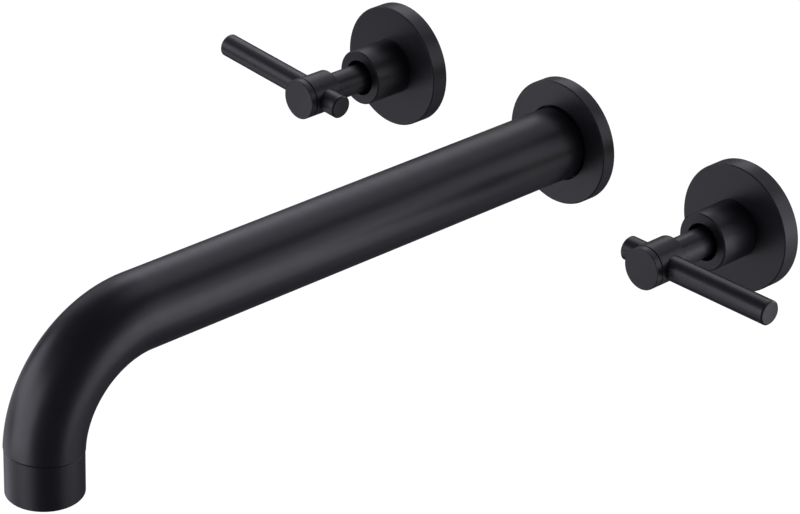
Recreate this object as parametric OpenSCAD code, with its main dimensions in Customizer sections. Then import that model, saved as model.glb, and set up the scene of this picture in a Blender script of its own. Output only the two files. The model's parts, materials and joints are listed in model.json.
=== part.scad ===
// Wall mounted bath faucet: two quarter-turn lever handles, a long fixed spout and the brass
// valve set behind the wall.
// Frame: the finished wall is the plane Y = 0, the room is on -Y, +Z is up, +X is to the right,
// and the origin lies on the wall, on the spout's axis. Millimetres.
// Most pieces are drawn in a "handle frame": its +Z runs straight out of the wall, its +Y is up
// and its -X is the way the hot lever points. Depths behind the wall are negative there.

/* [Overall] */
// Distance between the two handle axes
handle_spread = 203.2; // [180:0.1:300]
// Distance from the wall to the outlet's axis
spout_reach = 283.5; // [200:0.5:360]
// Depth of the water line behind the finished wall
pipe_depth = 56; // [50:1:80]

/* [Spout] */
// Outside diameter of the spout tube
spout_d = 31.7; // [26.5:0.1:38]
// Wall of the spout tube
spout_wall = 1.5; // [1:0.1:1.8]
// Centreline radius of the bend
bend_r = 45.7; // [38:0.1:70]
// Angle that the tube turns through before its outlet ring
bend_deg = 87; // [84:1:89]
// How much the tube is drawn thinner in the bend, on each diameter
bend_draw = 0.02; // [0.02:0.01:0.1]
// Gap between the spout tube's end and the wall
tube_start = 1; // [0.5:0.5:3]
// Length of the outlet ring
outlet_len = 19.5; // [19.5:0.1:30]
// How much smaller the outlet ring is than the tube, on the radius
outlet_step = 0.25; // [0:0.05:0.5]
// Length of the outlet ring's spigot inside the tube
outlet_spigot = 3; // [2:0.5:4]
// Wall of that spigot
spigot_wall = 1.5; // [1:0.1:2]
// Ledge above the aerator's washer
washer_ledge = 2; // [1:0.1:3]
// How much that ledge's bore is wider than the aerator's, on the radius
washer_step = 0.5; // [0.3:0.1:1]
// Rounding under the outlet ring
outlet_round = 0.8; // [0.4:0.1:1.2]

/* [Aerator] */
// Diameter of the aerator's thread
aerator_d = 24; // [18:0.1:24.4]
// Length of the aerator's housing
aerator_len = 9; // [8:0.5:9.5]
// Wall of the aerator's housing
aerator_wall = 2; // [1.5:0.1:2.5]
// Lip that holds the screen in
aerator_lip = 1; // [0.6:0.1:1.5]
// Thickness of the aerator's washer
washer_t = 2; // [1.5:0.1:2.5]
// Width of the housing's two driver slots
aerator_slot = 2; // [1:0.1:2.5]
// How far the aerator is set back inside the ring
aerator_inset = 0.6; // [0.4:0.1:1.5]
// Thickness of the perforated mixer disc
mixer_t = 1.6; // [1:0.1:1.8]
// Thickness of the outlet screen
screen_t = 2; // [1:0.1:2.4]
// Diameter of the mixer's holes
mixer_hole_d = 1.5; // [1:0.1:1.8]
// Distance between the mixer's rings of holes
mixer_pitch = 2.6; // [2.4:0.1:3.4]
// Distance from the housing's top to the mixer
mixer_inset = 1; // [0.6:0.1:1.4]
// Side of the screen's square cells
screen_cell = 2.1; // [1.6:0.1:2.6]
// Thickness of the screen's ribs
screen_rib = 0.6; // [0.5:0.1:1]

/* [Wall plates] */
// Diameter of a handle's wall plate
plate_d = 54.8; // [48:0.1:75]
// Thickness of a handle's wall plate
plate_t = 8; // [6.5:0.1:12]
// Diameter of the spout's wall plate
spout_plate_d = 55.1; // [50:0.1:75]
// Thickness of the spout's wall plate
spout_plate_t = 6.6; // [5.5:0.1:12]
// Front wall of both plates
plate_face_t = 3; // [2:0.1:4]
// Rim of both plates
plate_rim = 3; // [2:0.1:4]
// Chamfer on the plates' front edge
plate_chamfer = 0.4; // [0.2:0.1:1]
// Open ring between the spout and its plate
spout_plate_gap = 0.75; // [0.4:0.05:1.2]
// Inside diameter of the handle plates' gaskets
gasket_bore = 32; // [26:0.5:38]

/* [Collar] */
// Distance from the wall to the collar's front
collar_front = 27.3; // [22:0.1:36]
// Open ring between the collar's mouth and the handle's neck
neck_gap = 1.6; // [1:0.1:2.4]
// Depth of the mouth, down to the thread
collar_lip = 7.3; // [6:0.1:9]
// Wall of the collar's spigot, which goes through the wall plate
collar_wall = 1.25; // [1:0.05:2]
// Step from the spigot out to the collar
collar_step = 1.8; // [1.2:0.1:3]
// Distance from the end of the mouth back to the extension sleeve
sleeve_stop = 2; // [0.5:0.5:3]
// How far the spigot stops short of the wall
spigot_gap = 2; // [1:0.1:3]
// Chamfer on the collar's front edge
collar_chamfer = 0.5; // [0.2:0.1:1]
// Fine chamfer where the collar meets the plate
collar_foot_chamfer = 0.3; // [0.2:0.1:0.5]

/* [Handle] */
// Diameter of the hub and its cap
hub_d = 17.8; // [16.5:0.1:24]
// Distance from the wall to the hub's back
hub_back = 46.1; // [46:0.1:60]
// Metal behind the lever bar
lever_back = 1.8; // [1.2:0.1:4]
// Metal in front of the lever bar, up to the cap's line
lever_front = 1.7; // [1.2:0.1:4]
// Diameter of the neck
neck_d = 12.6; // [10:0.1:16]
// Wall of the neck
neck_wall = 1.35; // [1:0.05:2]
// How far the neck reaches into the collar
neck_in = 5.3; // [3:0.1:6.5]
// Thickness of the cap
cap_t = 3.1; // [2:0.1:4]
// Open line between the cap and the hub
cap_line = 0.4; // [0.2:0.1:0.8]
// Depth of that line
cap_line_depth = 0.6; // [0.4:0.1:1]
// Wall of the hub round the cap's threaded spigot
hub_wall = 2.4; // [1.8:0.1:3.5]
// Chamfer on the cap and the hub
hub_chamfer = 0.4; // [0.2:0.1:0.8]

/* [Lever] */
// Diameter of the lever bar
lever_d = 10.4; // [8:0.1:11]
// Length of the lever's long side from the hub's axis
lever_long = 58.4; // [40:0.1:90]
// Length of the lever's stub from the hub's axis
lever_stub = 16.4; // [12:0.1:30]
// Chamfer on the lever's ends
lever_chamfer = 0.6; // [0.3:0.1:1]
// How far above level the shut hot lever points
hot_tilt = 2.9; // [0:0.1:5]
// How far above level the shut cold lever points
cold_tilt = 1.1; // [0:0.1:5]

/* [Stem] */
// Wall of the stem adapter round its screw's head
adapter_wall = 1.45; // [1.2:0.05:1.8]
// Wall of the stem adapter's socket round the spline
socket_wall = 2; // [1.2:0.1:2.6]
// Distance that the adapter stops behind the hub's back
adapter_stop = 1.6; // [1:0.1:3]
// Distance from the wall to the adapter's thin part
adapter_shoulder = 6; // [2:0.5:12]
// Plain length of the spindle between its clip and its spline
spline_start = 3.2; // [2:0.1:8]
// Length of the spline
spline_len = 10; // [8:0.5:12]
// Diameter over the spline's teeth
spline_d = 8; // [7:0.1:8.2]
// Depth of the spline's teeth
spline_tooth = 0.45; // [0.3:0.05:0.6]
// Number of teeth on the spline
spline_teeth = 20; // [16:2:24]
// How much the stem is thinner behind the teeth, on the radius
spline_relief = 0.2; // [0.1:0.05:0.4]
// Depth of the flats that key the stop washer
key_flat = 0.5; // [0.3:0.1:0.8]
// Diameter of the adapter's screw
screw_d = 4; // [3:0.5:4.5]
// Height of the adapter screw's head
screw_head_t = 2.8; // [2:0.1:4]
// Depth of the adapter groove that the hub's set screw bears in
adapter_groove = 0.8; // [0.4:0.1:0.9]
// Depth of the screw's hole in the spindle
screw_bite = 12; // [8:0.5:12]
// Part of that hole that the screw leaves empty
screw_spare = 1; // [0.5:0.5:2]
// Distance the screw's seat lies behind the adapter's front
screw_seat = 14.5; // [8:0.5:16]
// Width across the socket in the adapter's and the spout's screws
key_af = 2.5; // [2:0.1:2.6]
// Depth of that socket
key_depth = 2; // [1.5:0.1:2.4]
// Width across the socket in the hub's set screw
set_key_af = 2; // [1.5:0.1:2]
// Depth of that socket in the hub's set screw
set_key_depth = 1.4; // [1:0.1:1.6]
// Diameter of the hub's set screw
set_screw_d = 4; // [3:0.5:4.5]
// Distance the set screw lies behind the hub's back
set_screw_offset = 8; // [5:0.5:10]

/* [Cartridge] */
// Diameter of the cartridge's barrel
barrel_d = 18; // [15:0.1:22]
// Wall of the barrel round the chamber that holds the ceramic discs
barrel_wall = 1.4; // [1.1:0.1:2]
// Metal above that chamber, up to the flange
barrel_roof = 7; // [5:0.5:10]
// Diameter of the spindle's stem
stem_d = 10; // [8.4:0.1:12]
// Wall of the cartridge's neck round the stem
cartridge_neck_wall = 1.9; // [1.4:0.1:2.4]
// How far the neck stands out of the bonnet nut
neck_stand = 1.5; // [0.5:0.5:3]
// Thickness of the cartridge's flange
flange_t = 4; // [3:0.1:5]
// Step from the barrel out to the flange
flange_step = 1; // [0.8:0.1:1.5]
// Thickness of the fixed ceramic disc
fixed_disc_t = 3.5; // [3:0.1:3.8]
// Thickness of the turning ceramic disc
turning_disc_t = 3.5; // [3:0.1:3.8]
// Thickness of the seat seal
seal_t = 2.5; // [2:0.1:3]
// Inside diameter of the seat seal
seal_bore = 10; // [8:0.1:11]
// Width of the spindle's drive blade
blade_w = 3; // [2:0.1:3.5]
// How deep the blade bites into the turning disc
blade_bite = 1.3; // [0.8:0.1:1.6]
// Space between each end of the blade and the chamber's wall
blade_clear = 2; // [1:0.1:3]
// Height of the open space round the blade
blade_gap = 5.5; // [5.5:0.1:6.5]
// Thickness of the spindle's flange
spindle_flange_t = 3; // [2:0.1:3.5]
// Width of the fixed disc's keys
disc_key_w = 3; // [2:0.1:4]
// Wall left outside the windows in the ceramic discs
window_wall = 1.5; // [1:0.1:2]
// Radius where those windows start
window_start = 2.2; // [1.8:0.1:3]
// Angle of each window in the ceramic discs
window_deg = 70; // [50:1:76]
// Diameter of the cartridge's side windows
side_window_d = 5; // [4:0.1:5.4]
// Thickness of a small O-ring
o_ring_t = 1.5; // [1.2:0.1:1.6]
// Distance from the neck's top down to the first of the stem's O-rings
stem_ring_depth = 9; // [6:0.5:10]
// Distance between the stem's two O-rings
stem_ring_step = 5; // [4:0.5:6]
// Angle that the handle turns from shut to open
turn_deg = 90; // [80:1:90]
// Angle of the stop washer's tab
tab_deg = 40; // [30:1:60]
// Spare angle at each stop
stop_spare = 2; // [1:0.5:3]
// Height of the stop wall
stop_h = 2.5; // [2:0.1:3]
// Thickness of the retaining clip
clip_t = 0.8; // [0.6:0.1:1]
// Depth of the clip's groove
clip_groove = 0.45; // [0.3:0.05:0.6]

/* [Valve set] */
// Diameter of a valve body
valve_d = 31; // [28.8:0.1:36]
// Wall of a valve body's threaded front
boss_wall = 2.6; // [2:0.1:2.8]
// Step from the bonnet nut's thread out to its flats
bonnet_step = 0.5; // [0.2:0.1:0.6]
// Height of the bonnet nut's hexagon
bonnet_hex_t = 6; // [4:0.1:7]
// Length of the bonnet nut's thread
bonnet_thread = 11; // [8:0.5:12]
// Wall of the extension sleeve's skirt
skirt_wall = 2; // [1.5:0.1:2.5]
// Wall of the extension sleeve
sleeve_wall = 1.35; // [1.1:0.05:2]
// Depth of the water gallery round the barrel
gallery_depth = 2.5; // [2:0.1:3]
// How far the gallery runs past the barrel's side windows
gallery_over = 1; // [0.5:0.5:2]
// Diameter of a water passage
passage_d = 13; // [10:0.1:13]
// Metal between the cartridge's seat and the inlet passage
passage_web = 1.5; // [1:0.5:4]
// Diameter of the passage out to the cross tube
cross_passage_d = 9; // [7:0.5:12]
// Diameter of the inlet boss
inlet_d = 26; // [24:0.1:32]
// Length of the inlet boss below the valve's axis
inlet_len = 42; // [36:0.5:60]
// Diameter of the inlet's thread, at its crests
inlet_thread_d = 18.6; // [18:0.1:20]
// Depth of the inlet's thread
inlet_thread = 15; // [12:0.5:18]
// Outside diameter of the cross tubes
cross_d = 15; // [13:0.1:16]
// Wall of the cross tubes
cross_wall = 1; // [0.8:0.1:1.5]
// Diameter of the bosses that hold the cross tubes
cross_boss_d = 20; // [18:0.1:22]
// Length of those bosses from the body's axis
cross_boss_len = 26; // [25:0.5:30]
// Depth of their sockets
cross_socket = 10; // [8:0.5:10]
// Distance between the two screw holes of a valve's mounting ears
ear_spacing = 44; // [42:0.5:60]
// Height of the mounting ears' holes above the valve's axis
ear_height = 18; // [14:0.5:20]
// Diameter of the mounting ears' holes
ear_hole_d = 5.5; // [4:0.1:6]
// Width of a mounting ear round its hole
ear_w = 14; // [12:0.5:18]
// Thickness of the mounting ears
ear_t = 4; // [3:0.1:6]
// Chamfer on the cast bodies' ends
cast_chamfer = 1; // [0.5:0.5:2]

/* [Spout connection] */
// Diameter of the centre tee's body
tee_d = 28; // [26:0.1:34]
// Depth of the centre tee's front behind the wall
tee_front = 28; // [22:0.5:34]
// How far the tee's body reaches behind its side bosses
tee_over = 2; // [1:0.5:4]
// Diameter of the spout nipple
nipple_d = 20.8; // [20:0.1:21.2]
// Wall of the spout nipple
nipple_wall = 2.9; // [2.4:0.1:3.5]
// Depth of the nipple's thread in the tee
nipple_thread = 18; // [10:0.5:19]
// Distance from the wall to the nipple's tip
nipple_tip = 26; // [24:0.5:32]
// Distance from that tip back to the nipple's first O-ring
nipple_ring_depth = 3; // [2.5:0.5:4]
// Distance between the nipple's two O-rings
nipple_ring_step = 4.5; // [3:0.5:5]
// Distance from the wall to the bushing's front
bushing_front = 28; // [27:0.5:36]
// Distance from the wall to the spout's set screw
spout_screw_pos = 11; // [10.5:0.5:13]
// Diameter of the spout's set screw
spout_screw_d = 5; // [4:0.5:5]

/* [Fits] */
// Radial gap between a turning piece and its bore
running_gap = 0.05; // [0.03:0.01:0.1]
// Radial gap between pieces that are fastened together
fixed_gap = 0.03; // [0.02:0.01:0.1]
// Open gap between pieces that pass each other
clear_gap = 0.4; // [0.3:0.05:0.8]

/* [Hidden] */
$fn = 96;
eps = 0.01;
// How far two shapes of one piece run into each other
merge = 1;
// How far a set screw's end lies below the surface round it
screw_recess = 0.3;
// Chamfer on the adapter screw's head
screw_chamfer = 0.4;

// Colours
matte_black = "#26262a";
brass = "#b99a4b";
copper = "#b87348";
steel = "#a9abad";
black_rubber = "#161616";
foam = "#3a3a3c";
ceramic = "#efeeea";
plastic = "#d9dadb";

// Diameters in the cartridge and its valve body
chamber_d = barrel_d - 2 * barrel_wall;
cartridge_neck_d = stem_d + 2 * cartridge_neck_wall;
bonnet_d = barrel_d + 2 * flange_step;
bonnet_af = bonnet_d + 2 * bonnet_step;
valve_boss_d = bonnet_d + 2 * boss_wall;
gallery_d = barrel_d + 2 * gallery_depth;
spline_relief_d = spline_d - 2 * spline_tooth - 2 * spline_relief;
clip_groove_d = spline_relief_d - 2 * clip_groove;

// Diameters in the handle, its collar and its stem adapter
collar_bore = neck_d + 2 * neck_gap;
sleeve_bore = max(collar_bore, cartridge_neck_d + 2 * clear_gap);
sleeve_d = sleeve_bore + 2 * sleeve_wall;
collar_spigot_d = sleeve_d + 2 * collar_wall;
collar_d = collar_spigot_d + 2 * collar_step;
cap_spigot_d = hub_d - 2 * hub_wall;
adapter_d = neck_d - 2 * neck_wall;
adapter_socket_d = spline_d + 2 * socket_wall;
adapter_groove_d = adapter_d - 2 * adapter_groove;
screw_head_d = adapter_d - 2 * adapter_wall;

// Stations along a handle's axis, in the handle frame, from the back to the front
water_z = -pipe_depth;
chamber_roof = water_z + side_window_d / 2 + spindle_flange_t + running_gap + 2 * clear_gap;
flange_z = chamber_roof - spindle_flange_t - running_gap;
disc_top = flange_z - blade_gap;
disc_split = disc_top - turning_disc_t;
fixed_disc_z = disc_split - running_gap - fixed_disc_t;
seat_z = fixed_disc_z - seal_t;
inlet_z = seat_z - passage_d / 2 - passage_web;
back_z = inlet_z - inlet_d / 2;
barrel_top = chamber_roof + barrel_roof;
barrel_ring_z = (chamber_roof + barrel_top) / 2;
flange_top = barrel_top + flange_t;
boss_top = flange_top + bonnet_thread;
hex_top = boss_top + bonnet_hex_t;
skirt_roof = hex_top + clear_gap;
neck_top = hex_top + neck_stand;
stem_ring_z = [for (i = [0, 1]) neck_top - stem_ring_depth - i * stem_ring_step];
washer_top = neck_top + running_gap + stop_h - clear_gap;
clip_z = washer_top + running_gap;
spline_z = clip_z + clip_t + spline_start;
spindle_tip = spline_z + spline_len;
mouth_z = collar_front - collar_lip;
sleeve_front = mouth_z - sleeve_stop;
neck_back = collar_front - neck_in;
set_screw_z = hub_back - set_screw_offset;
adapter_front = hub_back - adapter_stop;
screw_seat_z = adapter_front - screw_seat;
lever_z = hub_back + lever_back + lever_d / 2;
hub_end = lever_z + lever_d / 2 + lever_front;
hub_front = hub_end + cap_line + cap_t;
cap_spigot_len = lever_front - 3 * fixed_gap;

// Angle of the gap in the cartridge's stop wall
pocket_deg = turn_deg + tab_deg + 2 * stop_spare;

// Places along the spout
spout_bore = spout_d - 2 * spout_wall;
straight_end = spout_reach - bend_r * sin(bend_deg);
seam_drop = bend_r * (1 - cos(bend_deg));
outlet_d = spout_d - 2 * outlet_step;
aerator_bore = aerator_d - 2 * aerator_wall;
washer_bore = aerator_bore + 2 * washer_step;
aerator_end = outlet_len - aerator_inset;
aerator_start = aerator_end - aerator_len;
washer_top_z = aerator_start - washer_t;
mixer_z = aerator_start + mixer_inset;
screen_z = aerator_end - aerator_lip - screen_t;

// Places across the valve set
half_spread = handle_spread / 2;
socket_bottom = cross_boss_len - cross_socket;
tee_back = water_z - cross_boss_d / 2 - tee_over;
nipple_z = -tee_front - nipple_thread;
nipple_bore = nipple_d - 2 * nipple_wall;
nipple_ring_z = [for (i = [0, 1]) nipple_tip - nipple_ring_depth - i * nipple_ring_step];

// ---------------------------------------------------------------- frames

// Turns a piece drawn in the handle frame to stand out of the wall at the spout's axis
module out_of_wall() {
    rotate([90, 0, 0]) children();
}

// Puts a piece drawn in the handle frame on the hot side
module hot_side() {
    translate([-half_spread, 0, 0]) out_of_wall() children();
}

// Puts a piece drawn in the handle frame on the cold side, as the hot side's mirror image
module cold_side() {
    mirror([1, 0, 0]) hot_side() children();
}

// Turns a handle so that its lever points a little above level
module tilted(angle) {
    rotate([0, 0, -angle]) children();
}

// Frame at the seam of the outlet ring, with +Z straight down
module at_outlet() {
    translate([0, -spout_reach, -seam_drop]) mirror([0, 0, 1]) children();
}

// ---------------------------------------------------------------- plain shapes

// Rod along Z
module rod(d, z0, z1) {
    translate([0, 0, z0]) cylinder(d = d, h = z1 - z0);
}

// Tube along Z
module pipe(d, bore, z0, z1) {
    difference() {
        rod(d, z0, z1);
        rod(bore, z0 - eps, z1 + eps);
    }
}

// Rod along X, from x0 to x1 at height z
module rod_x(d, x0, x1, z) {
    translate([x0, 0, z]) rotate([0, 90, 0]) cylinder(d = d, h = x1 - x0);
}

// Rod along -Y, from y0 to y1 below the axis at height z
module rod_down(d, y0, y1, z) {
    translate([0, -y0, z]) rotate([90, 0, 0]) cylinder(d = d, h = y1 - y0);
}

// Rod along Z with a chamfer at each end
module chamfered_rod(d, z0, z1, c0, c1) {
    rotate_extrude() polygon([
        [0, z0], [d / 2 - c0, z0], [d / 2, z0 + c0],
        [d / 2, z1 - c1], [d / 2 - c1, z1], [0, z1]
    ]);
}

// Ring of round section that fills a groove under the diameter d
module o_ring(d, t, z) {
    translate([0, 0, z]) rotate_extrude() translate([(d - t) / 2, 0]) circle(d = t, $fn = 32);
}

// Groove for that ring
module o_ring_groove(d, t, z) {
    w = t + clear_gap;
    pipe(d + merge, d - 2 * t, z - w / 2, z + w / 2);
}

// Slice of a ring between two radii, centred on the angle mid
module sector(r0, r1, mid, angle, z0, z1) {
    reach = 2.5 * r1;
    translate([0, 0, z0]) linear_extrude(z1 - z0) rotate(mid) intersection() {
        difference() {
            circle(r = r1);
            circle(r = r0);
        }
        polygon([
            [0, 0],
            [reach * cos(angle / 2), -reach * sin(angle / 2)],
            [reach, 0],
            [reach * cos(angle / 2), reach * sin(angle / 2)]
        ]);
    }
}

// Toothed profile of the spindle's spline, grown by gap
module spline_profile(gap) {
    tip = spline_d / 2 + gap;
    root = tip - spline_tooth;
    step = 180 / spline_teeth;
    polygon([for (i = [0 : 2 * spline_teeth - 1])
        (i % 2 == 0 ? tip : root) * [cos(i * step), sin(i * step)]]);
}

// Hexagonal rod along Z, measured across its flats
module hex_rod(af, z0, z1) {
    translate([0, 0, z0]) cylinder(d = af / cos(30), h = z1 - z0, $fn = 6);
}

// ---------------------------------------------------------------- spout

// Bent end of the spout tube, from the straight run's end to the outlet's seam
module spout_bend() {
    translate([0, -straight_end, -bend_r]) rotate([90, 0, -90])
        rotate([0, 0, 90 - bend_deg]) rotate_extrude(angle = bend_deg)
            translate([bend_r, 0]) difference() {
                circle(d = spout_d - bend_draw);
                circle(d = spout_bore + bend_draw);
            }
}

module spout_tube() {
    color(matte_black) union() {
        out_of_wall() difference() {
            pipe(spout_d, spout_bore, tube_start, straight_end);
            rod_down(spout_screw_d + 2 * fixed_gap, 0, spout_d, spout_screw_pos);
        }
        spout_bend();
    }
}

// Half space above the mitred seam between the tube and the outlet ring
module above_seam() {
    size = 2 * spout_d;
    rotate([90 - bend_deg, 0, 0]) translate([-size / 2, -size / 2, -size]) cube(size);
}

module outlet_ring() {
    spigot_d = spout_bore - 2 * clear_gap;
    color(matte_black) at_outlet() difference() {
        union() {
            difference() {
                translate([0, 0, -outlet_spigot]) rotate_extrude() union() {
                    square([outlet_d / 2, outlet_spigot + outlet_len - outlet_round]);
                    square([outlet_d / 2 - outlet_round, outlet_spigot + outlet_len]);
                    translate([
                        outlet_d / 2 - outlet_round,
                        outlet_spigot + outlet_len - outlet_round
                    ]) circle(r = outlet_round);
                }
                above_seam();
            }
            rod(spigot_d, -outlet_spigot, outlet_round);
        }
        rod(spigot_d - 2 * spigot_wall, -outlet_spigot - eps, washer_top_z - washer_ledge);
        rod(washer_bore, -outlet_spigot, outlet_len + eps);
        rod(aerator_d + 2 * fixed_gap, washer_top_z, outlet_len + eps);
    }
}

module aerator_washer() {
    color(black_rubber) at_outlet()
        pipe(aerator_d - clear_gap, washer_bore, washer_top_z, aerator_start);
}

module aerator_housing() {
    lip_bore = aerator_bore - 2 * aerator_lip;
    color(matte_black) at_outlet() difference() {
        rod(aerator_d, aerator_start, aerator_end);
        rod(aerator_bore, aerator_start - eps, aerator_end - aerator_lip);
        rod(lip_bore, aerator_start, aerator_end + eps);
        for (turn = [0, 90])
            rotate(turn) translate([-aerator_d, -aerator_slot / 2, aerator_end - aerator_lip / 2])
                cube([2 * aerator_d, aerator_slot, aerator_lip]);
    }
}

// Disc with rings of small holes that mixes air into the water
module aerator_mixer() {
    rings = floor((aerator_bore / 2 - mixer_hole_d) / mixer_pitch);
    color(plastic) at_outlet() difference() {
        rod(aerator_bore - 2 * fixed_gap, mixer_z, mixer_z + mixer_t);
        for (k = [1 : rings], i = [0 : 6 * k - 1])
            rotate(i * 60 / k) translate([k * mixer_pitch, 0, 0])
                rod(mixer_hole_d, mixer_z - eps, mixer_z + mixer_t + eps);
    }
}

// Grid that straightens the stream
module aerator_screen() {
    pitch = screen_cell + screen_rib;
    open_r = aerator_bore / 2 - aerator_lip;
    count = floor(open_r / pitch);
    color(plastic) at_outlet() difference() {
        rod(aerator_bore - 2 * fixed_gap, screen_z, screen_z + screen_t);
        for (i = [-count : count], j = [-count : count])
            if (norm([i, j]) * pitch + screen_cell / sqrt(2) < open_r)
                translate([i * pitch - screen_cell / 2, j * pitch - screen_cell / 2, screen_z - eps])
                    cube([screen_cell, screen_cell, screen_t + 2 * eps]);
    }
}

// Round plate against the wall with a hollow back, drawn in the handle frame
module wall_plate(d, t, hole) {
    color(matte_black) difference() {
        chamfered_rod(d, 0, t, plate_chamfer / 2, plate_chamfer);
        rod(d - 2 * plate_rim, -eps, t - plate_face_t);
        rod(hole, -eps, t + eps);
    }
}

module handle_plate() {
    wall_plate(plate_d, plate_t, collar_spigot_d + 2 * fixed_gap);
}

// Foam ring that fills the hollow back of a handle's plate
module plate_gasket() {
    color(foam)
        pipe(plate_d - 2 * plate_rim - 2 * fixed_gap, gasket_bore, 0, plate_t - plate_face_t);
}

// Threaded collar that clamps the plate to the wall
module collar() {
    color(matte_black) difference() {
        union() {
            rod(collar_spigot_d, spigot_gap, plate_t + merge);
            chamfered_rod(collar_d, plate_t, collar_front, collar_foot_chamfer, collar_chamfer);
        }
        rod(sleeve_d + 2 * fixed_gap, spigot_gap - eps, mouth_z);
        rod(collar_bore, mouth_z - eps, collar_front + eps);
    }
}

module spout_plate() {
    out_of_wall() wall_plate(spout_plate_d, spout_plate_t, spout_d + 2 * spout_plate_gap);
}

// Rubber ring that fills the plate's hollow back and grips the tube
module spout_plate_gasket() {
    color(black_rubber) out_of_wall() pipe(
        spout_plate_d - 2 * plate_rim - 2 * fixed_gap, spout_d + 2 * fixed_gap,
        0, spout_plate_t - plate_face_t
    );
}

// Brass end of the spout that slips over the nipple
module spout_bushing() {
    color(brass) out_of_wall() difference() {
        rod(spout_bore - 2 * fixed_gap, tube_start, bushing_front);
        rod(nipple_d + 2 * fixed_gap, tube_start - eps, bushing_front + eps);
        rod_down(spout_screw_d + 2 * fixed_gap, 0, spout_d, spout_screw_pos);
    }
}

module spout_set_screw() {
    tip = nipple_d / 2 + fixed_gap;
    end = spout_d / 2 - screw_recess;
    color(steel) out_of_wall() difference() {
        rod_down(spout_screw_d, tip, end, spout_screw_pos);
        translate([0, -end, spout_screw_pos]) rotate([90, 0, 0])
            hex_rod(key_af, -key_depth, screw_recess);
    }
}

module spout_nipple() {
    color(brass) out_of_wall() difference() {
        rod(nipple_d, nipple_z, nipple_tip);
        rod(nipple_bore, nipple_z - eps, nipple_tip + eps);
        for (z = nipple_ring_z) o_ring_groove(nipple_d, o_ring_t, z);
    }
}

module nipple_o_rings() {
    color(black_rubber) out_of_wall()
        for (z = nipple_ring_z) o_ring(nipple_d, o_ring_t, z);
}

// ---------------------------------------------------------------- valve set behind the wall

module centre_tee() {
    color(brass) out_of_wall() difference() {
        union() {
            chamfered_rod(tee_d, tee_back, -tee_front, cast_chamfer, cast_chamfer);
            rod_x(cross_boss_d, -cross_boss_len, cross_boss_len, water_z);
        }
        rod(nipple_bore, water_z, -tee_front + eps);
        rod(nipple_d + 2 * fixed_gap, nipple_z, -tee_front + eps);
        rod_x(passage_d, -cross_boss_len, cross_boss_len, water_z);
        rod_x(cross_d + 2 * fixed_gap, -cross_boss_len - eps, -socket_bottom, water_z);
        rod_x(cross_d + 2 * fixed_gap, socket_bottom, cross_boss_len + eps, water_z);
    }
}

// Copper tube from the hot valve body to the tee
module cross_tube() {
    end = half_spread - socket_bottom;
    color(copper) difference() {
        rod_x(cross_d, socket_bottom, end, water_z);
        rod_x(cross_d - 2 * cross_wall, socket_bottom - eps, end + eps, water_z);
    }
}

// Two screw ears at the back of a valve body
module mounting_ears() {
    for (side = [-1, 1]) translate([side * ear_spacing / 2, ear_height, back_z])
        cylinder(d = ear_w, h = ear_t);
    translate([-ear_spacing / 2, ear_height - ear_w / 2, back_z]) cube([ear_spacing, ear_w, ear_t]);
}

module valve_body() {
    gallery_half = side_window_d / 2 + gallery_over;
    color(brass) difference() {
        union() {
            chamfered_rod(valve_d, back_z, flange_top, cast_chamfer, cast_chamfer);
            rod(valve_boss_d, flange_top - merge, boss_top);
            rod_down(inlet_d, 0, inlet_len, inlet_z);
            rod_x(cross_boss_d, 0, cross_boss_len, water_z);
            mounting_ears();
        }
        rod(barrel_d + 2 * fixed_gap, seat_z, barrel_top);
        rod(gallery_d, water_z - gallery_half, water_z + gallery_half);
        rod(bonnet_d + 2 * fixed_gap, barrel_top - eps, boss_top + eps);
        rod(seal_bore, inlet_z, seat_z + eps);
        rod_down(passage_d, 0, inlet_len, inlet_z);
        rod_down(inlet_thread_d, inlet_len - inlet_thread, inlet_len + eps, inlet_z);
        rod_x(cross_passage_d, 0, cross_boss_len, water_z);
        rod_x(cross_d + 2 * fixed_gap, socket_bottom, cross_boss_len + eps, water_z);
        for (side = [-1, 1]) translate([side * ear_spacing / 2, ear_height, back_z - eps])
            cylinder(d = ear_hole_d, h = ear_t + 2 * eps);
    }
}

module bonnet_nut() {
    color(brass) difference() {
        union() {
            rod(bonnet_d, flange_top, boss_top);
            hex_rod(bonnet_af, boss_top, hex_top);
        }
        rod(cartridge_neck_d + 2 * fixed_gap, flange_top - eps, hex_top + eps);
    }
}

// Threaded tube that carries the collar and screws onto the valve body's front
module extension_sleeve() {
    skirt_bore = valve_boss_d + 2 * fixed_gap;
    skirt_d = skirt_bore + 2 * skirt_wall;
    color(brass) difference() {
        union() {
            rod(skirt_d, flange_top, skirt_roof + skirt_wall);
            rod(sleeve_d, skirt_roof, sleeve_front);
        }
        rod(skirt_bore, flange_top - eps, skirt_roof);
        rod(sleeve_bore, skirt_roof - eps, sleeve_front + eps);
    }
}

// ---------------------------------------------------------------- cartridge

module cartridge_body() {
    color(brass) difference() {
        union() {
            rod(barrel_d, seat_z + clear_gap, barrel_top);
            rod(bonnet_d, barrel_top, flange_top);
            rod(cartridge_neck_d, flange_top, neck_top);
            sector(stem_d / 2 + clear_gap, cartridge_neck_d / 2, 180, 360 - pocket_deg,
                neck_top - eps, neck_top + stop_h);
        }
        rod(chamber_d, seat_z, chamber_roof);
        rod(stem_d + 2 * running_gap, chamber_roof - eps, neck_top + eps);
        for (turn = [0 : 90 : 270]) rotate([0, 0, turn])
            rod_x(side_window_d, 0, barrel_d, water_z);
        translate([-barrel_d, -disc_key_w / 2 - fixed_gap, seat_z])
            cube([2 * barrel_d, disc_key_w + 2 * fixed_gap, fixed_disc_z + fixed_disc_t - seat_z]);
        o_ring_groove(barrel_d + 2 * fixed_gap, o_ring_t, barrel_ring_z);
    }
}

module seat_seal() {
    color(black_rubber) pipe(chamber_d - 2 * fixed_gap, seal_bore, seat_z, fixed_disc_z);
}

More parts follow.
